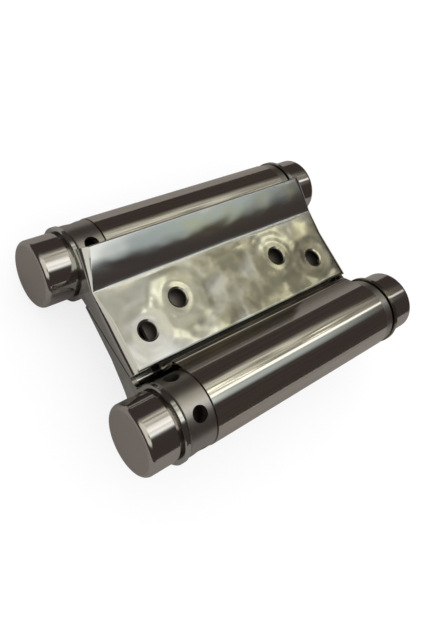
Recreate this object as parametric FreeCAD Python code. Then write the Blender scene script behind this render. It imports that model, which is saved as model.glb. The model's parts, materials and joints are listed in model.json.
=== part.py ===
import FreeCAD
import Part
import math
import os

# Double-action spring hinge for a swing door, closed, with both leaves level.
# Two folded leaves, each with an ear at both ends, turn on the spindles of two parallel barrels.
# One sheet, rolled at both edges, makes the barrels and the web between them. In each barrel a
# torsion spring runs from a plug fixed in the tube to a collar that is turned to set the tension.
# X runs along the barrels, Y across the leaves, Z out of the door leaf. Sizes are in millimetres.
# Half a turn about X puts the door side where the frame side is, so one side is drawn and turned.

# Sheet metal
SHEET = 1.4
LEAF_LENGTH = 82.0
LEAF_OUT = 4.4
LEAF_BEND_Y = 12.1
SLOPE_RUN = 10.5
SLOPE_RISE = 4.8
SLOPE_CROWN = 0.15
BEND_R = 1.0
END_BEND_R = 2.2
CREST_BEND_R = 3.2
CORNER_R = 0.5
CORNER_RUN = 8.0
EDGE_R = 0.35
EDGE_CHAMFER = 0.3
EDGE_GAP = 1.0
EAR_OVER = 0.2
EAR_FILLET_R = 2.0
SEAM_GAP = 0.4

# Screw holes in a leaf: the outer pair lies nearer the free edge than the inner pair
SCREW_HOLE_R = 2.6
SCREW_LAND = 0.8
RIM_WIDE = 0.5
RIM_DEEP = 0.2
OUTER_PITCH = 63.2
OUTER_Y = -2.4
INNER_PITCH = 37.8
INNER_Y = 2.6

# Barrels: the door barrel's axis is at +Y, below the middle; the frame barrel's is opposite
AXIS_Y = 24.6
AXIS_Z = -4.75
TUBE_R = 10.2
LIP_ANGLE = 45.0
LIP_STEP = 2.4
LIP_BEND_R = 2.4
SEAM_ANGLE = -8.0
WEB_BEND_R = 1.2

# Turned parts on each spindle
SPINDLE_R = 3.0
RUNNING = 0.05
PLAY = 0.1
WASHER_T = 0.4
WASHER_R = 7.0
COLLAR_LENGTH = 8.2
COLLAR_STEP = 0.2
COLLAR_HUB = 6.0
HUB_CLEARANCE = 0.1
TOMMY_R = 2.1
TOMMY_DEPTH = 4.6
TOMMY_COUNT = 5
DOOR_TOMMY_ANGLE = 92.0
FRAME_TOMMY_ANGLE = -77.0
PLUG_DEPTH = 8.0
PLUG_FLANGE = 3.1
COLLAR_EDGE = 0.3
CAP_STEP = 1.0
CAP_LENGTH = 9.0
CAP_RIM_R = 1.4
CAP_NECK = 0.8
CAP_NECK_STEP = 1.0
CAP_FACE = 2.5

# Torsion spring of flat wire
SPRING_CLEARANCE = 0.6
WIRE_RADIAL = 2.2
WIRE_AXIAL = 2.8
SPRING_TURNS = 7
STEPS_PER_TURN = 16
SPRING_GAP = 0.3
TANG = 3.0
TANG_CLEARANCE = 0.15

# Places that follow from the sizes above
END = LEAF_LENGTH / 2
EAR_IN = END - SHEET
LEAF_IN = LEAF_OUT - SHEET
SLOPE = math.atan2(SLOPE_RISE, SLOPE_RUN)
CREST_Y = LEAF_BEND_Y + SLOPE_RUN
CREST_Z = LEAF_OUT + SLOPE_RISE
LIP = math.radians(LIP_ANGLE)
LIP_Y = TUBE_R + LIP_STEP - AXIS_Y
LEAF_FREE_Y = LIP_Y + EDGE_GAP
EAR_R = TUBE_R + EAR_OVER
COLLAR_R = TUBE_R - COLLAR_STEP
CAP_R = TUBE_R - CAP_STEP
CAP_NECK_R = CAP_R - CAP_NECK_STEP
TUBE_BORE_R = TUBE_R - SHEET
WASHER_IN = EAR_IN - WASHER_T
COLLAR_START = -WASHER_IN + PLAY
COLLAR_END = COLLAR_START + COLLAR_LENGTH
TUBE_START = COLLAR_END + PLAY
PLUG_FLANGE_END = WASHER_IN - PLAY
TUBE_END = PLUG_FLANGE_END - PLUG_FLANGE
HUB_END = TUBE_START + COLLAR_HUB
PLUG_START = TUBE_END - PLUG_DEPTH
SPINDLE_END = END + CAP_LENGTH - CAP_FACE
SPRING_R = TUBE_BORE_R - SPRING_CLEARANCE
SPRING_START = HUB_END + SPRING_GAP
SPRING_STOP = PLUG_START - SPRING_GAP
WEB_HALF = SHEET / 2

V = FreeCAD.Vector
ORIGIN = V(0, 0, 0)
ALONG = V(1, 0, 0)


def yz(y, z):
    """A point of a cross-section."""
    return V(0, y, z)


def polar(centre, radius, degrees):
    """A point of a cross-section at a radius and angle from a centre; 0 is +Y, 90 is +Z."""
    a = math.radians(degrees)
    return centre + yz(radius * math.cos(a), radius * math.sin(a))


def line(a, b):
    return Part.makeLine(a, b)


def arc(centre, radius, start, stop):
    """An arc of a cross-section from one angle to another, through the angle half way."""
    middle = (start + stop) / 2
    points = [polar(centre, radius, d) for d in (start, middle, stop)]
    return Part.Arc(*points).toShape()


def prism(edges, start, stop):
    """A closed cross-section pulled along X."""
    face = Part.Face(Part.Wire(edges))
    face.translate(V(start, 0, 0))
    return face.extrude(V(stop - start, 0, 0))


def rod(centre, radius, start, stop):
    """A round bar along X."""
    return Part.makeCylinder(radius, stop - start, centre + V(start, 0, 0), ALONG)


def runs_along(edge, point):
    """True for a straight edge along X through a point of the cross-section."""
    if abs(edge.BoundBox.XLength - edge.Length) > 1e-6 or edge.Length < 0.1:
        return False
    p = edge.Vertexes[0].Point
    return math.hypot(p.y - point.y, p.z - point.z) < 1e-3


def turned_over(shape):
    """The same piece on the frame side: half a turn about X."""
    copy = shape.copy()
    copy.rotate(ORIGIN, ALONG, 180)
    return copy


DOOR_AXIS = yz(AXIS_Y, AXIS_Z)
FRAME_AXIS = yz(-AXIS_Y, -AXIS_Z)
SEAM = (FRAME_AXIS - DOOR_AXIS).normalize()
SEAM_UP = yz(-SEAM.z, SEAM.y) * -1


def slope_edge(low, high):
    """The slope's line in a cross-section, crowned a little between its bend and its crest."""
    crown = yz(-math.sin(SLOPE), math.cos(SLOPE)) * SLOPE_CROWN
    return Part.Arc(low, (low + high) * 0.5 + crown, high).toShape()


OUTER_BEND = yz(LEAF_BEND_Y, LEAF_OUT)
CREST = yz(CREST_Y, CREST_Z)


def leaf_plate():
    """The flat with its rising slope, bent from one strip over the leaf's whole length."""
    inner_bend = yz(LEAF_BEND_Y + SHEET * math.tan(SLOPE / 2), LEAF_IN)
    inner_crest = CREST + yz(math.sin(SLOPE), -math.cos(SLOPE)) * SHEET
    free_top = yz(LEAF_FREE_Y, LEAF_OUT)
    free_low = yz(LEAF_FREE_Y, LEAF_IN)
    edges = [
        line(free_top, OUTER_BEND),
        slope_edge(OUTER_BEND, CREST),
        line(CREST, inner_crest),
        slope_edge(inner_bend, inner_crest),
        line(inner_bend, free_low),
        line(free_low, free_top)]
    plate = prism(edges, -END, END)
    plate = plate.makeFillet(BEND_R, [e for e in plate.Edges if runs_along(e, OUTER_BEND)])
    return plate.makeFillet(BEND_R + SHEET, [e for e in plate.Edges if runs_along(e, inner_bend)])


def flange_points():
    """Where the end's outline meets the ear, leaves it along the seam, and ends under the free edge."""
    down = yz(math.sin(SLOPE), -math.cos(SLOPE))
    to_axis = DOOR_AXIS - CREST
    reach = to_axis.dot(down)
    aside = math.sqrt(to_axis.dot(to_axis) - reach * reach)
    meets_ear = CREST + down * (reach - math.sqrt(EAR_R * EAR_R - aside * aside))
    lift = SEAM_UP * (SEAM_GAP / 2)
    along = math.sqrt(EAR_R * EAR_R - (SEAM_GAP / 2) ** 2)
    leaves_ear = DOOR_AXIS + SEAM * along + lift
    tip = DOOR_AXIS + lift + SEAM * ((LEAF_FREE_Y - AXIS_Y - lift.y) / SEAM.y)
    return meets_ear, leaves_ear, tip


def ear_angles():
    """The ear's free arc, from the end's back edge round to the seam, in degrees."""
    meets_ear, leaves_ear, tip = flange_points()
    top = math.degrees(math.atan2(meets_ear.z - AXIS_Z, meets_ear.y - AXIS_Y))
    inner = math.degrees(math.atan2(leaves_ear.z - AXIS_Z, leaves_ear.y - AXIS_Y)) - 360
    return top, inner


def end_flange(start):
    """A leaf's end, folded down to the seam between the leaves, with the ear round the spindle."""
    meets_ear, leaves_ear, tip = flange_points()
    top, inner = ear_angles()
    free_top = yz(LEAF_FREE_Y, LEAF_OUT)
    edges = [
        line(free_top, OUTER_BEND),
        slope_edge(OUTER_BEND, CREST),
        line(CREST, meets_ear),
        arc(DOOR_AXIS, EAR_R, top, inner),
        line(leaves_ear, tip),
        line(tip, free_top)]
    flange = prism(edges, start, start + SHEET)
    neck = [e for e in flange.Edges if runs_along(e, leaves_ear)]
    return flange.makeFillet(EAR_FILLET_R, neck)


def outside_corner(corner, across, inward, radius):
    """The waste outside a rounded corner: its wire in the plane of two unit directions into the metal."""
    def at(u, w):
        return corner + across * (u * radius) + inward * (w * radius)
    out = EDGE_R / radius
    near = 1 - math.sqrt(0.5)
    return Part.Wire([
        line(at(-out, -out), at(1, -out)),
        line(at(1, -out), at(1, 0)),
        Part.Arc(at(1, 0), at(near, near), at(0, 1)).toShape(),
        line(at(0, 1), at(-out, 1)),
        line(at(-out, 1), at(-out, -out))])


def end_bend_waste():
    """What the far end's fold takes off: a round along the flat that closes to the bend's corner,
    and a cone that opens from that corner to the crest."""
    back = V(-1, 0, 0)
    x = V(END, 0, 0)
    flat = [(LEAF_FREE_Y - 1, END_BEND_R), (LEAF_BEND_Y - CORNER_RUN, END_BEND_R), (LEAF_BEND_Y, CORNER_R)]
    rounds = [outside_corner(yz(y, LEAF_OUT) + x, back, yz(0, -1), r) for y, r in flat]
    chord = CREST - OUTER_BEND
    down = yz(math.sin(SLOPE), -math.cos(SLOPE))
    cones = []
    for t in (0.0, 0.25, 0.5, 0.75, 1.0, 1.1):
        crown = 4 * SLOPE_CROWN * t * (1 - t)
        point = OUTER_BEND + chord * t - down * crown + x
        cones.append(outside_corner(point, back, down, CORNER_R + (CREST_BEND_R - CORNER_R) * t))
    return [Part.makeLoft(rounds, True, True), Part.makeLoft(cones, True, True)]


def edge_waste():
    """What rounds the free edge and the crest."""
    down = yz(math.sin(SLOPE), -math.cos(SLOPE))
    back = yz(-math.cos(SLOPE), -math.sin(SLOPE))
    free = outside_corner(yz(LEAF_FREE_Y, LEAF_OUT), yz(1, 0), yz(0, -1), EDGE_R)
    crest = outside_corner(CREST, back, down, EDGE_R)
    waste = []
    for wire in (free, crest):
        face = Part.Face(wire)
        face.translate(V(-END - 1, 0, 0))
        waste.append(face.extrude(V(LEAF_LENGTH + 2, 0, 0)))
    return waste


def ear_rim_waste():
    """What bevels the far ear's outer rim over its free arc."""
    top, inner = ear_angles()
    rim = polar(DOOR_AXIS, EAR_R, inner) + V(END, 0, 0)
    outward = polar(ORIGIN, EDGE_CHAMFER, inner)
    over = V(EDGE_CHAMFER, 0, 0)
    corners = [rim - over * 2 + outward, rim + over + outward, rim + over - outward * 2]
    face = Part.Face(Part.makePolygon(corners + corners[:1]))
    return face.revolve(DOOR_AXIS, ALONG, top - inner)


def screw_hole(x, y):
    """A hole through the leaf, its outer rim bevelled, countersunk from the side that faces the web."""
    hole = Part.makeCylinder(SCREW_HOLE_R, 4 * SHEET, V(x, y, LEAF_OUT - 2 * SHEET))
    depth = SHEET - SCREW_LAND
    sink = Part.makeCone(SCREW_HOLE_R + depth, SCREW_HOLE_R, depth, V(x, y, LEAF_IN))
    rim = Part.makeCone(SCREW_HOLE_R, SCREW_HOLE_R + RIM_WIDE, RIM_DEEP, V(x, y, LEAF_OUT - RIM_DEEP))
    return hole.fuse([sink, rim])


def leaf():
    """The door leaf: plate, two folded ends with ears, screw holes and spindle holes."""
    body = leaf_plate().fuse([end_flange(-END), end_flange(EAR_IN)]).removeSplitter()
    far_end = end_bend_waste() + [ear_rim_waste()]
    near_end = [w.mirror(ORIGIN, ALONG) for w in far_end]
    cuts = far_end + near_end + edge_waste()
    cuts.append(rod(DOOR_AXIS, SPINDLE_R, -END - 1, END + 1))
    for pitch, y in ((OUTER_PITCH, OUTER_Y), (INNER_PITCH, INNER_Y)):
        for side in (-1, 1):
            cuts.append(screw_hole(side * pitch / 2, y))
    for cut in cuts:
        body = body.cut(cut)
    return body


def half_web(centre_line_offset):
    """One long edge of the rolled sheet's section, from the middle of the web to the roll's end.

    The frame barrel is drawn: the web turns up beside the leaf's free edge, leans back as a flat
    shoulder and runs into the roll. An offset of +1 is the side that ends as the tube's outside,
    -1 the side that ends as its inside.
    """
    side = centre_line_offset * WEB_HALF
    tube = TUBE_R - WEB_HALF + side
    foot = WEB_BEND_R + WEB_HALF - side
    crease = LIP_BEND_R - WEB_HALF + side
    rise_y = LIP_Y - WEB_HALF + side
    reach = TUBE_R - LIP_BEND_R - math.cos(LIP) * (LIP_Y - LIP_BEND_R + AXIS_Y)
    crease_z = reach / math.sin(LIP) - AXIS_Z
    foot_centre = yz(LIP_Y + WEB_BEND_R, WEB_HALF + WEB_BEND_R)
    crease_centre = yz(LIP_Y - LIP_BEND_R, crease_z)
    return [
        line(yz(0, side), yz(foot_centre.y, side)),
        arc(foot_centre, foot, 270, 180),
        line(yz(rise_y, foot_centre.z), yz(rise_y, crease_z)),
        arc(crease_centre, crease, 0, LIP_ANGLE),
        line(polar(crease_centre, crease, LIP_ANGLE), polar(FRAME_AXIS, tube, LIP_ANGLE)),
        arc(FRAME_AXIS, tube, LIP_ANGLE, 360 + SEAM_ANGLE)]


def barrel_web():
    """One sheet rolled into a barrel at each long edge, the two rolls turning opposite ways."""
    outside = half_web(1)
    inside = half_web(-1)
    roll_end = line(outside[-1].Vertexes[-1].Point, inside[-1].Vertexes[-1].Point)
    middle = line(yz(0, WEB_HALF), yz(0, -WEB_HALF))
    section = Part.Face(Part.Wire(Part.__sortEdges__(outside + inside + [roll_end, middle])))
    section.translate(V(TUBE_START, 0, 0))
    frame_half = section.extrude(V(TUBE_END - TUBE_START, 0, 0))
    return frame_half.fuse(turned_over(frame_half)).removeSplitter()


def spindle():
    """The round bar that both ears and both caps hold."""
    return rod(DOOR_AXIS, SPINDLE_R, -SPINDLE_END, SPINDLE_END)


def washer(start):
    """A thin ring that keeps a turning face off the ear."""
    ring = rod(DOOR_AXIS, WASHER_R, start, start + WASHER_T)
    return ring.cut(rod(DOOR_AXIS, SPINDLE_R + RUNNING, start - 1, start + WASHER_T + 1))


def tang_block(start, stop, clearance):
    """The spring's straight end, or with clearance the slot that takes it."""
    inner = SPRING_R - WIRE_RADIAL - clearance
    wide = WIRE_AXIAL / 2 + clearance
    corner = DOOR_AXIS + V(start, inner, -wide)
    return Part.makeBox(stop - start, WIRE_RADIAL + 2 * clearance, 2 * wide, corner)


def tension_collar(tommy_angle):
    """A turned collar with a ring of tommy-bar holes and a hub that centres the tube's near end."""
    ring = rod(DOOR_AXIS, COLLAR_R, COLLAR_START, COLLAR_END)
    rims = [e for e in ring.Edges if e.Closed]
    ring = ring.makeChamfer(COLLAR_EDGE, rims)
    hub = rod(DOOR_AXIS, TUBE_BORE_R - HUB_CLEARANCE, COLLAR_END - 1, HUB_END)
    collar = ring.fuse(hub)
    cuts = [
        rod(DOOR_AXIS, SPINDLE_R + RUNNING, COLLAR_START - 1, HUB_END + 1),
        tang_block(HUB_END - TANG, HUB_END + 1, TANG_CLEARANCE)]
    middle = (COLLAR_START + COLLAR_END) / 2
    for i in range(TOMMY_COUNT):
        angle = tommy_angle + i * 360 / TOMMY_COUNT
        bottom = polar(DOOR_AXIS, COLLAR_R - TOMMY_DEPTH, angle) + V(middle, 0, 0)
        direction = polar(ORIGIN, 1, angle)
        cuts.append(Part.makeCylinder(TOMMY_R, TOMMY_DEPTH + 1, bottom, direction))
    return collar.cut(cuts)


def spring_plug():
    """The plug that closes the tube's far end, holds the spring's other tang and runs on the spindle."""
    body = rod(DOOR_AXIS, TUBE_BORE_R, PLUG_START, TUBE_END)
    flange = rod(DOOR_AXIS, COLLAR_R, TUBE_END, PLUG_FLANGE_END)
    rims = [e for e in flange.Edges if e.Closed and e.BoundBox.XMin > TUBE_END + 0.1]
    plug = body.fuse(flange.makeChamfer(COLLAR_EDGE, rims))
    bore = rod(DOOR_AXIS, SPINDLE_R + RUNNING, PLUG_START - 1, PLUG_FLANGE_END + 1)
    return plug.cut([bore, tang_block(PLUG_START - 1, PLUG_START + TANG, TANG_CLEARANCE)])


def wire_section(turns):
    """The flat wire's cross-section, so many turns along the coil."""
    half = WIRE_AXIAL / 2
    travel = SPRING_STOP - SPRING_START - WIRE_AXIAL
    x = SPRING_START + half + travel * turns / SPRING_TURNS
    corners = [(SPRING_R - WIRE_RADIAL, -half), (SPRING_R, -half), (SPRING_R, half), (SPRING_R - WIRE_RADIAL, half)]
    points = [polar(DOOR_AXIS, r, 360 * turns) + V(x + along, 0, 0) for r, along in corners]
    return Part.makePolygon(points + points[:1])


def torsion_spring():
    """A coil that opening the hinge winds tighter; its straight ends sit in the collar and the plug."""
    count = SPRING_TURNS * STEPS_PER_TURN
    sections = [wire_section(i / STEPS_PER_TURN) for i in range(count + 1)]
    coil = Part.makeLoft(sections, True, True)
    near = tang_block(HUB_END - TANG + TANG_CLEARANCE, SPRING_START + WIRE_AXIAL / 2, 0)
    far = tang_block(SPRING_STOP - WIRE_AXIAL / 2, PLUG_START + TANG - TANG_CLEARANCE, 0)
    return coil.fuse([near, far])


def cap(side):
    """A turned cap with a rounded rim and a narrower neck against the ear."""
    face = END + CAP_LENGTH
    start = END + CAP_NECK
    head = rod(DOOR_AXIS, CAP_R, start, face)
    rim = [e for e in head.Edges if e.Closed and e.BoundBox.XMin > face - 0.1]
    head = head.makeFillet(CAP_RIM_R, rim)
    neck = rod(DOOR_AXIS, CAP_NECK_R, END, start + 0.5)
    button = head.fuse(neck).cut(rod(DOOR_AXIS, SPINDLE_R, END - 1, SPINDLE_END))
    if side < 0:
        button.rotate(DOOR_AXIS, V(0, 0, 1), 180)
    return button


def save(name, shape):
    """Write one node, after making sure that it is one closed solid."""
    solid = shape.Solids[0] if len(shape.Solids) == 1 else shape
    print(name, len(shape.Solids), solid.isValid(), round(solid.Volume, 1))
    solid.exportStep("parts/" + name + ".step")


os.makedirs("parts", exist_ok=True)
save("door_leaf", leaf())
save("frame_leaf", turned_over(leaf()))
save("barrel_web", barrel_web())
pieces = {
    "spindle": spindle(),
    "adjuster_washer": washer(-EAR_IN),
    "plug_washer": washer(WASHER_IN),
    "spring_plug": spring_plug(),
    "torsion_spring": torsion_spring(),
    "adjuster_cap": cap(-1),
    "plain_cap": cap(1)}
for name, shape in pieces.items():
    save("door_" + name, shape)
    save("frame_" + name, turned_over(shape))
save("door_tension_collar", tension_collar(DOOR_TOMMY_ANGLE))
save("frame_tension_collar", turned_over(tension_collar(FRAME_TOMMY_ANGLE)))
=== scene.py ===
# %% [markdown]
# # A double action spring hinge in polished steel
# The hinge carries a swing door that opens both ways. Two folded leaves turn on two spring
# barrels, and one rolled sheet makes both barrels. Every piece is a plain metal solid that the
# imported model already holds at its true size, so this lesson is about finishes, light and camera:
# how polished sheet, turned caps and satin collars come to look like metal in a picture. One step
# also cuts each spring in two across its middle.

# %% Load the imported hinge
import bpy
import json
import math
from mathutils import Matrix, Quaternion, Vector


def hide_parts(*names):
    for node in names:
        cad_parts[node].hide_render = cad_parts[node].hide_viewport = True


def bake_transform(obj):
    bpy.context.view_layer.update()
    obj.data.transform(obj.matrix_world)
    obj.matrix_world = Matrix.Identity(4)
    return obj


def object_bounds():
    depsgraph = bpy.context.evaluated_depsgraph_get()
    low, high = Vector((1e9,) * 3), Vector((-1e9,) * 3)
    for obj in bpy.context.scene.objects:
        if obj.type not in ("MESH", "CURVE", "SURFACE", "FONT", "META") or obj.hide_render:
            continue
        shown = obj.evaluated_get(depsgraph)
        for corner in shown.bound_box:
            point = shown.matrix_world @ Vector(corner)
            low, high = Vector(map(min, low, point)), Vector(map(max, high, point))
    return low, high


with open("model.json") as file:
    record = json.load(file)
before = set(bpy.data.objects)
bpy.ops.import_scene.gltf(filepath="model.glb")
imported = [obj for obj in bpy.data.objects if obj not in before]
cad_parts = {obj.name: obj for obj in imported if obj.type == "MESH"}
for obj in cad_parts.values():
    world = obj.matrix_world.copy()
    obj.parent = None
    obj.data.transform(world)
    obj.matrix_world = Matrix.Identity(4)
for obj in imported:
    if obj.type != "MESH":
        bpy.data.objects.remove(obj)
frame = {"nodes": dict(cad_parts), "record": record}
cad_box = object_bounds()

MM = 0.001
nodes = frame["nodes"]
print("pieces:", len(nodes), "box in mm:", [round(x / MM, 1) for corner in cad_box for x in corner])

# %% [markdown]
# ## The camera
# The photograph looks down on one end of the hinge. A camera can be turned by hand until the
# edges agree, but here a pinhole camera was fitted to corners and holes, so its place, the point
# it looks at and its roll about that line are known numbers. The track quaternion points the
# camera, and one more turn about its own Z axis gives the roll.

# %% Place the camera
EYE = Vector((-112.57, -25.23, 153.91)) * MM
AIM = Vector((3.24, 15.53, 0.0)) * MM
ROLL = math.radians(45.467)
LENS = 37.694
SHIFT_DOWN = -0.1197
NEAREST_SEEN = 5 * MM

view_camera = bpy.data.cameras.new("portrait_camera")
view_camera.lens = LENS
view_camera.shift_y = SHIFT_DOWN
view_camera.clip_start = NEAREST_SEEN
camera = bpy.data.objects.new("portrait_camera", view_camera)
bpy.context.scene.collection.objects.link(camera)
camera.location = EYE
look = (AIM - EYE).to_track_quat("-Z", "Y")
camera.rotation_mode = "QUATERNION"
camera.rotation_quaternion = look @ Quaternion((0, 0, 1), ROLL)
bpy.context.scene.camera = camera
print("camera", round((AIM - EYE).length / MM, 1), "mm from what it looks at")

# %% [markdown]
# ## Writing shader maths as plain sums
# A material is a graph of nodes, and long graphs are hard to read when every link is a line of
# code. This small class wraps one socket, so that an ordinary sum or product adds the Math node it
# needs. All other nodes come from one method, which sets a node's options before its sockets.


# %% A socket that can be added and multiplied
class Tone:
    """One output socket of a node tree; sums and products on it add Math nodes."""

    def __init__(self, tree, socket=None):
        self.tree = tree
        self.socket = socket

    def node(self, kind, options=None, sockets=None, out=0):
        """Add a node: its type, its settings, then values or links by socket name or number."""
        made = self.tree.nodes.new(kind)
        for name, value in (options or {}).items():
            setattr(made, name, value)
        for name, value in (sockets or {}).items():
            if isinstance(value, Tone):
                self.tree.links.new(value.socket, made.inputs[name])
            else:
                made.inputs[name].default_value = value
        return Tone(self.tree, made.outputs[out] if made.outputs else None)

    def part(self, out):
        """Another output of the node that this came from."""
        return Tone(self.tree, self.socket.node.outputs[out])

    def maths(self, operation, a, b=0.0):
        return self.node("ShaderNodeMath", {"operation": operation}, {0: a, 1: b})

    def __add__(self, other):
        return self.maths("ADD", self, other)

    def __radd__(self, other):
        return self.maths("ADD", other, self)

    def __sub__(self, other):
        return self.maths("SUBTRACT", self, other)

    def __rsub__(self, other):
        return self.maths("SUBTRACT", other, self)

    def __mul__(self, other):
        return self.maths("MULTIPLY", self, other)

    def __rmul__(self, other):
        return self.maths("MULTIPLY", other, self)

    def between(self, low, high):
        """0 below low, 1 above high, smooth from one to the other."""
        options = {"interpolation_type": "SMOOTHSTEP"}
        sockets = {"Value": self, "From Min": low, "From Max": high}
        return self.node("ShaderNodeMapRange", options, sockets)

    def ramp(self, low, high):
        """0 at low, 1 at high, straight from one to the other and level beyond them."""
        sockets = {"Value": self, "From Min": low, "From Max": high}
        return self.node("ShaderNodeMapRange", None, sockets)

    def blend(self, first, second):
        """A colour that is first where this is 0 and second where it is 1."""
        options = {"data_type": "RGBA"}
        return self.node("ShaderNodeMix", options, {0: self, 6: first, 7: second}, out=2)

    def grain(self, per_mm, detail=2.0, stretch=(1, 1, 1)):
        """Soft noise on this vector: its lumps to the millimetre, its fineness and its stretch."""
        scale = tuple(per_mm / MM * s for s in stretch)
        spread = self.node("ShaderNodeVectorMath", {"operation": "MULTIPLY"}, {0: self, 1: scale})
        sockets = {"Vector": spread, "Scale": 1.0, "Detail": detail}
        return self.node("ShaderNodeTexNoise", None, sockets)


def new_material(name):
    """An empty material and the start of its node tree."""
    material = bpy.data.materials.new(name)
    material.use_nodes = True
    material.node_tree.nodes.clear()
    return material, Tone(material.node_tree)


def new_metal(name):
    """An empty material and the object coordinates that its pattern lies on, in metres."""
    material, start = new_material(name)
    return material, start.node("ShaderNodeTexCoord", out="Object")


def finish_metal(place, colour, roughness, height, depth_mm):
    """Join colour, roughness and surface height into a metal and its output."""
    relief = {"Height": height, "Distance": depth_mm * MM, "Strength": 1.0}
    normal = place.node("ShaderNodeBump", None, relief)
    metal = {"Base Color": colour, "Metallic": 1.0, "Roughness": roughness, "Normal": normal}
    shader = place.node("ShaderNodeBsdfPrincipled", None, metal)
    place.node("ShaderNodeOutputMaterial", None, {"Surface": shader})


print("shader maths ready")

# %% [markdown]
# ## Leaf steel: sheet polished on a soft wheel
# A wheel presses more in some places than in others, so the flat of a leaf is gently wavy and its
# mirror picture breaks into patches. Slow noise as surface height makes those waves. Punching the
# screw holes pulled the metal down round each of them, and a wheel that went round the holes left
# wide rings. The waves fade out where the slope beside the flat starts. They swing about zero, so
# that fading them leaves no step. The slope was drawn over a former: its own waves are slight, it
# curves a little more towards its crest, and it meets the flat in a soft crease. The leaf's free
# edge is eased as well.

# %% Find the flat of a leaf and its screw holes
OUTER_HOLE = (31.6, -2.4)
INNER_HOLE = (18.9, 2.6)
FLAT_FADES = (9.0 * MM, 13.5 * MM)

leaf_steel, place = new_metal("leaf_steel_polish")
x = place.node("ShaderNodeSeparateXYZ", None, {0: place})
side = place.maths("SIGN", x.part("Z"))
across = x.part("Y") * side
along = place.maths("ABSOLUTE", x)
on_leaf = place.node("ShaderNodeCombineXYZ", None, {0: along, 1: across})


def mm_from(spot):
    """Distance in millimetres from a hole's middle; both ends of both leaves share it."""
    ends = {0: on_leaf, 1: (spot[0] * MM, spot[1] * MM, 0)}
    away = place.node("ShaderNodeVectorMath", {"operation": "DISTANCE"}, ends, out="Value")
    return away * (1 / MM)


def ring_at(distance, inner, middle, outer):
    """1 on a soft ring, 0 inside and outside it."""
    return distance.between(inner, middle) * (1 - distance.between(middle, outer))


flat = 1 - across.between(*FLAT_FADES)
from_outer = mm_from(OUTER_HOLE)
from_inner = mm_from(INNER_HOLE)
dish = (1 - from_outer.between(2.4, 5.5)) + (1 - from_inner.between(2.4, 5.2))
rings = ring_at(from_inner, 6.0, 8.5, 11.0) + ring_at(from_outer, 5.0, 7.0, 9.0)
print("screw holes at", OUTER_HOLE, "and", INNER_HOLE, "mm from the leaf's middle")

# %% Find the slope, its crease and the free edge
CREASE = 12.1 * MM
CREASE_HALF = 1.1 * MM
CREST = 22.6 * MM
SLOPE_STARTS = (13.5 * MM, 17 * MM)
SLOPE_STOPS = (20.5 * MM, CREST)
ENDS_FADE = (34 * MM, 40 * MM)
FREE_EDGE = (-11.1 * MM, -10.1 * MM)

off_ends = 1 - along.between(*ENDS_FADE)
on_slope = off_ends * across.between(*SLOPE_STARTS) * (1 - across.between(*SLOPE_STOPS))
rise = across.ramp(CREASE, CREST)
crease = place.maths("ABSOLUTE", across - CREASE).ramp(CREASE_HALF, 0.0)
eased = 1 - across.between(*FREE_EDGE)
print("slope from", round(CREASE / MM, 1), "to", round(CREST / MM, 1), "mm across the leaf")

# %% Tint the leaf steel
# Towards the leaf's middle its flat clouds over and straw patches reach its slope, and its near
# end is a plainer, darker grey. The far corner of the free edge is painted darker: painted shade.
STRAW = (0.66, 0.63, 0.48, 1)
COOL = (0.61, 0.62, 0.60, 1)
# Smoke clouds the flat at random, and at the far corner it is painted shade.
SMOKE_AND_SHADE = (0.38, 0.37, 0.29, 1)
NEAR_GREY = (0.47, 0.475, 0.46, 1)
TOWARD_MIDDLE = (-28, -4)
SHADED_CORNER_FROM = (16, 36)
SHADED_CORNER_ACROSS = (-10 * MM, -4 * MM)

patches = place.grain(0.10, 2.0)
smoke = place.grain(0.15, 3.0)
x_mm = x * (1 / MM)
toward_middle = x_mm.between(*TOWARD_MIDDLE)
# Painted shade: the far corner of the free edge is darkened.
corner = x_mm.between(*SHADED_CORNER_FROM) * (1 - across.between(*SHADED_CORNER_ACROSS))
clouds_and_shade = flat * toward_middle * (smoke + rings * 0.12 + corner * 0.25).between(0.38, 0.66)
straw = (flat + on_slope * toward_middle) * patches.between(0.30, 0.66)
calm = (flat + on_slope) * (1 - toward_middle) * 0.8
tint = clouds_and_shade.blend(calm.blend(straw.blend(COOL, STRAW), NEAR_GREY), SMOKE_AND_SHADE)
print("leaf tints: straw, cool, smoke and grey")

# %% Give the leaf steel its surface
WAVE, RIPPLE = 0.75, 0.06
DISH, RING, LINE = 0.10, 0.03, 0.002
SLOPE_WAVE, SOFT_CREASE, EASED_EDGE = 0.20, 0.08, 0.17
CURVE, LATE_CURVE = 0.375, 0.325
LEAF_RELIEF_MM = 0.80

waves = place.grain(0.085, 0.6)
ripples = place.grain(0.22, 0.5)
lines = place.grain(1.0, 2.0, (0.12, 2.2, 2.2))
mottle = place.grain(0.16, 1.0, (0.6, 1, 1))
gloss = 0.12 - flat * 0.05 + flat * patches * 0.08 + lines * 0.03 + crease * 0.10
swell = (waves - 0.5) * WAVE + (ripples - 0.5) * RIPPLE
bends = rise * rise * (CURVE + rise * LATE_CURVE) + eased * EASED_EDGE
drawn = off_ends * crease * crease * SOFT_CREASE + on_slope * (mottle - 0.5) * SLOPE_WAVE
height = flat * (swell - dish * DISH + rings * RING) + lines * LINE - bends + drawn
finish_metal(place, tint, gloss, height, LEAF_RELIEF_MM)
print("leaf steel:", len(leaf_steel.node_tree.nodes), "nodes")

# %% [markdown]
# ## Barrel steel: sheet drawn along its length
# The rolled sheet was polished before it was rolled, along the barrel, so its marks are long fine
# lines. The noise is drawn out along X and is very fine across it. Between the lines the barrel is
# a clean mirror, so the height is small. The shoulder beside a leaf's edge and the web between the
# leaves are painted dark brown: painted shade in the crease and between the leaves. Where it bends
# beside the leaf's edge, a fine burr catches the light.

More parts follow.
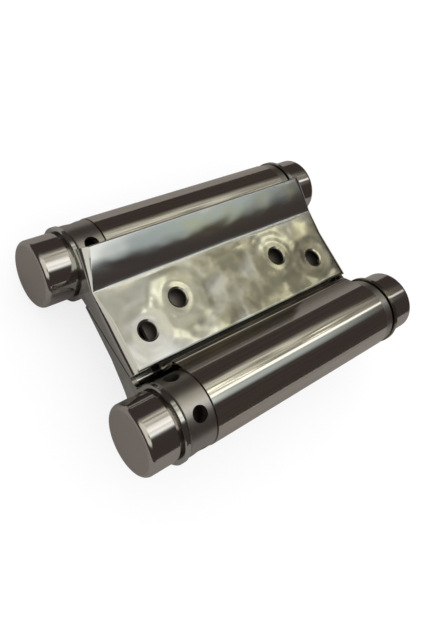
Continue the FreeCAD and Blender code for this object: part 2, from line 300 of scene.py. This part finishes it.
# %% Make the barrel steel
BARREL_LIGHT = (0.64, 0.62, 0.56, 1)
BARREL_DARK = (0.55, 0.53, 0.48, 1)
# Painted shade: the dark browns on the shoulder beside the leaf's edge and on the web between the
# leaves.
LIP_SHADE = (0.26, 0.23, 0.20, 1)
WEB_SHADE = (0.24, 0.22, 0.20, 1)
WEB_MATT = 0.45
BURR = 11
BARREL_RELIEF_MM = 0.03

barrel_steel, place = new_metal("barrel_steel_polish")
streaks = place.grain(1.6, 3.0, (0.012, 1, 1))
bands = place.grain(0.5, 1.0, (0.02, 1, 1))
off_middle = place.node("ShaderNodeSeparateXYZ", None, {0: place}, out="Y")
off_middle = place.maths("ABSOLUTE", off_middle) * (1 / MM)
# Painted shade in the crease beside the leaf's edge, and on the web seen between the leaves.
shaded_shoulder = ring_at(off_middle, 13.1, 13.6, 17.6)
shaded_web = 1 - off_middle.between(11.2, 12.0)
tint = streaks.between(0.35, 0.65).blend(BARREL_DARK, BARREL_LIGHT)
tint = shaded_web.blend(shaded_shoulder.blend(tint, LIP_SHADE), WEB_SHADE)
gloss = 0.07 + streaks * 0.08 + shaded_web * WEB_MATT
burr = ring_at(off_middle, 12.5, 12.95, 13.5)
height = bands + streaks * 0.05 + burr * BURR
finish_metal(place, tint, gloss, height, BARREL_RELIEF_MM)
print("barrel steel:", len(barrel_steel.node_tree.nodes), "nodes")

# %% [markdown]
# ## Turned steel: collars, plugs and caps
# A lathe leaves rings round the axis. The noise is drawn out round the barrel by stretching it the
# other way: fine along X, slow across it. The collars stay satin with a few small pits, and their
# holes are painted black deeper in, as painted shade, which the distance from the barrel's axis
# tells. The caps are polished on their sides, and their end faces are left as the tool cut them,
# which the X part of the surface direction tells apart.


# %% Make the satin collar steel
def turned_lines(place, per_mm):
    """Rings round a barrel: noise that changes quickly along X only."""
    return place.grain(per_mm, 2.0, (1, 0.03, 0.03))


AXIS_Y = 24.6
AXIS_Z = -4.75
HOLE_DARKENS = (7.2 * MM, 9.0 * MM)
COLLAR_GREY = (0.45, 0.43, 0.40, 1)
COLLAR_PIT = (0.30, 0.28, 0.25, 1)
HOLE_SHADE = (0.06, 0.05, 0.05, 1)
COLLAR_RELIEF_MM = 0.02

collar_steel, place = new_metal("collar_steel_satin")
rings = turned_lines(place, 3.0)
specks = place.grain(1.3, 3.0)
pits = specks.between(0.74, 0.80)
y = place.node("ShaderNodeSeparateXYZ", None, {0: place}, out="Y")
mirror = place.maths("SIGN", y)
up = y.part("Z") * mirror - AXIS_Z * MM
off = y * mirror - AXIS_Y * MM
radius = place.maths("SQRT", off * off + up * up)
# Painted shade: the collar's holes turn black deeper in.
hole_shade = 1 - radius.between(*HOLE_DARKENS)
tint = hole_shade.blend(pits.blend(COLLAR_GREY, COLLAR_PIT), HOLE_SHADE)
gloss = 0.28 + rings * 0.08 + pits * 0.2
height = rings * 0.25 - pits
finish_metal(place, tint, gloss, height, COLLAR_RELIEF_MM)
print("collar steel:", len(collar_steel.node_tree.nodes), "nodes")

# %% Make the cap steel, satin on its end face
CAP_GREY = (0.55, 0.53, 0.50, 1)
FACE_GREY = (0.50, 0.47, 0.44, 1)
CAP_RELIEF_MM = 0.008

cap_steel, place = new_metal("cap_steel_turned")
facing_x = place.node("ShaderNodeSeparateXYZ", None, {0: place.part("Normal")})
end_face = place.maths("ABSOLUTE", facing_x).between(0.9, 0.99)
rings = turned_lines(place, 2.5)
specks = place.grain(1.8, 2.0)
tint = end_face.blend(CAP_GREY, FACE_GREY)
gloss = 0.09 + rings * 0.06 + end_face * (0.24 + specks * 0.12)
height = rings * 0.3 + specks * end_face
finish_metal(place, tint, gloss, height, CAP_RELIEF_MM)
print("cap steel:", len(cap_steel.node_tree.nodes), "nodes")

# %% [markdown]
# ## Inner parts: spindle, washers and spring
# These show only as thin lines beside the ears and inside the barrels. The spindle is ground bar,
# the washers are plain punched rings, and the spring is dark oiled wire, rougher than the rest.

# %% Make the three inner steels
# Each row holds the light tint, the dark tint, the roughness and the stretch of the mottling.
INNER = {
    "spindle_steel": ((0.58, 0.57, 0.55, 1), (0.48, 0.47, 0.45, 1), 0.16, (1, 0.05, 0.05)),
    "washer_steel": ((0.34, 0.32, 0.29, 1), (0.22, 0.20, 0.18, 1), 0.32, (1, 1, 1)),
    "spring_steel": ((0.20, 0.19, 0.19, 1), (0.12, 0.11, 0.11, 1), 0.38, (1, 1, 1))}
INNER_RELIEF_MM = 0.01

finishes = {
    "leaf_steel": leaf_steel, "barrel_steel": barrel_steel,
    "collar_steel": collar_steel, "cap_steel": cap_steel}
for name, (light, dark, base, stretch) in INNER.items():
    finishes[name], place = new_metal(name + "_bare")
    mottle = place.grain(0.9, 3.0, stretch)
    tint = mottle.between(0.35, 0.65).blend(light, dark)
    finish_metal(place, tint, base + mottle * 0.1, mottle, INNER_RELIEF_MM)
print("finishes:", len(finishes))

# %% Put every finish on its pieces
for row in frame["record"]["subparts"]:
    piece = nodes[row["node"]]
    for slot in piece.material_slots:
        slot.material = finishes[row["material_slot"]]

# %% [markdown]
# ## Springs that twist
# A plug in the tube holds one end of each spring, and the collar on the leaf's side holds the
# other, so a spring winds up as the hinge swings or as its collar is turned. A solid can't do that.
# Two halves of a copy of its mesh take its place, with its doubled points merged: the plug's half
# and the collar's half of a cut across its middle, each closed where it is cut.

# %% Cut the springs in two
MIDDLE = Vector((1.6, 0, 0)) * MM
SAME_POINT = 0.001 * MM
SMOOTH_BELOW = math.radians(40)


def half_spring(solid, name, keep_plug_side):
    """A copy of one half of a spring, cut across and closed in the middle."""
    coil = bpy.data.objects.new(name, solid.data.copy())
    bpy.context.scene.collection.objects.link(coil)
    coil.matrix_world = solid.matrix_world
    bpy.ops.object.select_all(action="DESELECT")
    coil.select_set(True)
    bpy.context.view_layer.objects.active = coil
    bpy.ops.object.mode_set(mode="EDIT")
    bpy.ops.mesh.select_all(action="SELECT")
    bpy.ops.mesh.remove_doubles(threshold=SAME_POINT)
    cut = {"clear_inner": keep_plug_side, "clear_outer": not keep_plug_side}
    bpy.ops.mesh.bisect(plane_co=MIDDLE, plane_no=(1, 0, 0), use_fill=True, **cut)
    bpy.ops.object.mode_set(mode="OBJECT")
    bpy.ops.object.shade_smooth_by_angle(angle=SMOOTH_BELOW)
    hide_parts(solid.name)
    print(coil.name, len(coil.data.vertices), "points")
    return coil


for leaf in ("door", "frame"):
    solid = nodes[leaf + "_torsion_spring"]
    plug_half = half_spring(solid, leaf + "_spring_plug_half", True)
    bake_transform(plug_half)
    collar_half = half_spring(solid, leaf + "_spring_collar_half", False)
    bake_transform(collar_half)

# %% [markdown]
# ## Floor and light
# Polished steel has hardly a colour of its own: it shows the room. The floor is plain and pale,
# with some light of its own, as paper lit from below has, so that only a faint shadow stays on
# it. An even white sky lights it. What the metal shows is set with boards, as a photographer does
# it: dark walls on all sides, a grey table top, and soft boxes overhead. Six small lamps among the
# boxes put bright spots in the polished flat. All of these show only in reflections, so they stand
# in nobody's view.

# %% Lay the floor
FLOOR_BELOW = 0.3 * MM
FLOOR_SIZE = 6.0
PAPER = (0.93, 0.93, 0.93, 1)
WHITE = (1, 1, 1, 1)
LIT_PAPER = 0.72
PAPER_GLOW = 1.05
SKY_LIGHT = 1.1
lowest = cad_box[0][2]

bpy.ops.object.select_all(action="DESELECT")
bpy.ops.mesh.primitive_plane_add(size=FLOOR_SIZE, location=(0, 0, lowest - FLOOR_BELOW))
floor = bpy.context.active_object
floor.name = "floor"
paper, start = new_material("pale_floor")
matt = start.node("ShaderNodeBsdfDiffuse", None, {"Color": PAPER})
white = start.node("ShaderNodeEmission", None, {"Color": WHITE, "Strength": PAPER_GLOW})
seen = start.node("ShaderNodeLightPath", out="Is Camera Ray")
seen = seen + seen.part("Is Glossy Ray") + seen.part("Is Transmission Ray")
lit = start.node("ShaderNodeMixShader", None, {0: seen * LIT_PAPER, 1: matt, 2: white})
start.node("ShaderNodeOutputMaterial", None, {"Surface": lit})
floor.data.materials.append(paper)

world = bpy.data.worlds.new("even_sky")
bpy.context.scene.world = world
world.use_nodes = True
world.node_tree.nodes.clear()
start = Tone(world.node_tree)
sky = start.node("ShaderNodeBackground", None, {"Color": WHITE, "Strength": SKY_LIGHT})
start.node("ShaderNodeOutputWorld", None, {"Surface": sky})
world.cycles.sampling_method = "NONE"
print("floor at", round(floor.location.z / MM, 2), "mm")


# %% Boards that show only in the metal
def glow(name, colour, strength, half=None, fade=None, crumple=0.0):
    """A board's own light: even, or fading out towards its edges, or crumpled like foil."""
    material, start = new_material(name)
    light = start.node("ShaderNodeEmission", None, {"Color": (*colour, 1), "Strength": strength})
    if half:
        place = start.node("ShaderNodeTexCoord", out="Object")
        spot = start.node("ShaderNodeSeparateXYZ", None, {0: place})
        off_x = start.maths("ABSOLUTE", spot)
        off_y = start.maths("ABSOLUTE", spot.part("Y"))
        inside_x = 1 - off_x.between(half[0] - fade[0], half[0])
        inside_y = 1 - off_y.between(half[1] - fade[1], half[1])
        inside = inside_x * inside_y
        if crumple:
            folds = place.grain(0.02, 2.0)
            inside = inside * (1 - crumple * folds.between(0.40, 0.62))
        clear = start.node("ShaderNodeBsdfTransparent")
        light = start.node("ShaderNodeMixShader", None, {0: inside, 1: clear, 2: light})
    start.node("ShaderNodeOutputMaterial", None, {"Surface": light})
    return material


def only_in_reflections(board):
    board.visible_camera = False
    board.visible_diffuse = False
    board.visible_shadow = False
    board.visible_transmission = False


DARK_ROOM = (0.064, 0.049, 0.045)
ROOM = 4.0
ROOM_SUNK = 0.1
TABLE_GREY = (0.31, 0.285, 0.27, 1)
TABLE_SIZE = 3.0

bpy.ops.mesh.primitive_cube_add(size=ROOM, location=(0, 0, ROOM / 2 - ROOM_SUNK))
walls = bpy.context.active_object
walls.name = "dark_walls"
walls.data.materials.append(glow("dark_room", DARK_ROOM, 1.0))
only_in_reflections(walls)

bpy.ops.mesh.primitive_plane_add(size=TABLE_SIZE, location=(0, 0, lowest - FLOOR_BELOW / 2))
table = bpy.context.active_object
table.name = "grey_table"
top, start = new_material("grey_table")
matt = start.node("ShaderNodeBsdfDiffuse", None, {"Color": TABLE_GREY})
start.node("ShaderNodeOutputMaterial", None, {"Surface": matt})
table.data.materials.append(top)
only_in_reflections(table)
print("boards:", walls.name, table.name)

# %% Soft boxes and lamps overhead
# Each row holds the centre, the size, the colour, the strength, the faded edge and the crumpling.
SOFT_BOXES = {
    "warm_box": ((0.22, 0.16, 0.40), (0.70, 0.46), (0.92, 0.90, 0.77), 1.15, (0.24, 0.20), 0.80),
    "white_strip": ((0.30, -0.022, 0.39), (0.50, 0.07), (1.0, 0.97, 0.92), 1.9, (0.14, 0.02), 0.0),
    "white_patch": ((0.12, -0.05, 0.385), (0.20, 0.26), (1.0, 0.98, 0.95), 1.7, (0.08, 0.06), 0.4),
    "zenith_box": ((-0.03, 0.05, 0.38), (0.26, 0.36), (1.0, 0.96, 0.86), 1.1, (0.08, 0.10), 0.0),
    "back_box": ((-0.34, -0.05, 0.37), (0.70, 0.74), (1.0, 0.97, 0.86), 0.95, (0.14, 0.16), 0.0),
    "side_box": ((-0.05, -0.22, 0.38), (0.24, 0.24), (0.92, 1.0, 0.95), 0.9, (0.08, 0.08), 0.0),
    "cool_box": ((0.25, -0.095, 0.40), (0.54, 0.25), (0.64, 0.72, 0.72), 0.85, (0.20, 0.08), 0.0)}
LAMPS = [
    (0.174, 0.067), (0.196, 0.038), (0.217, 0.025),
    (0.331, 0.090), (0.312, 0.024), (0.193, 0.085)]
LAMP_UP = 0.36
LAMP_SIZE = (0.036, 0.024)
LAMP_COLOUR = (1.0, 0.99, 0.80)
LAMP_STRENGTH = 3.6
LAMP_FADE = (0.014, 0.010)

for count, spot in enumerate(LAMPS, start=1):
    lamp = ((*spot, LAMP_UP), LAMP_SIZE, LAMP_COLOUR, LAMP_STRENGTH, LAMP_FADE, 0.0)
    SOFT_BOXES[f"lamp_{count}"] = lamp

for name, (centre, size, colour, strength, fade, crumple) in SOFT_BOXES.items():
    bpy.ops.mesh.primitive_plane_add(size=1.0, location=centre)
    box = bpy.context.active_object
    box.name = name
    box.scale = (*size, 1)
    bpy.ops.object.transform_apply(location=False, rotation=False, scale=True)
    half = (size[0] / 2, size[1] / 2)
    box.data.materials.append(glow(name, colour, strength, half, fade, crumple))
    box.visible_camera = False
    box.visible_diffuse = False
    box.visible_shadow = False
print("soft boxes and lamps:", len(SOFT_BOXES))

# %% [markdown]
# ## The colour view
# The plain Standard view shows colours as they were written.

# %% Set the colour view
bpy.context.scene.view_settings.view_transform = "Standard"
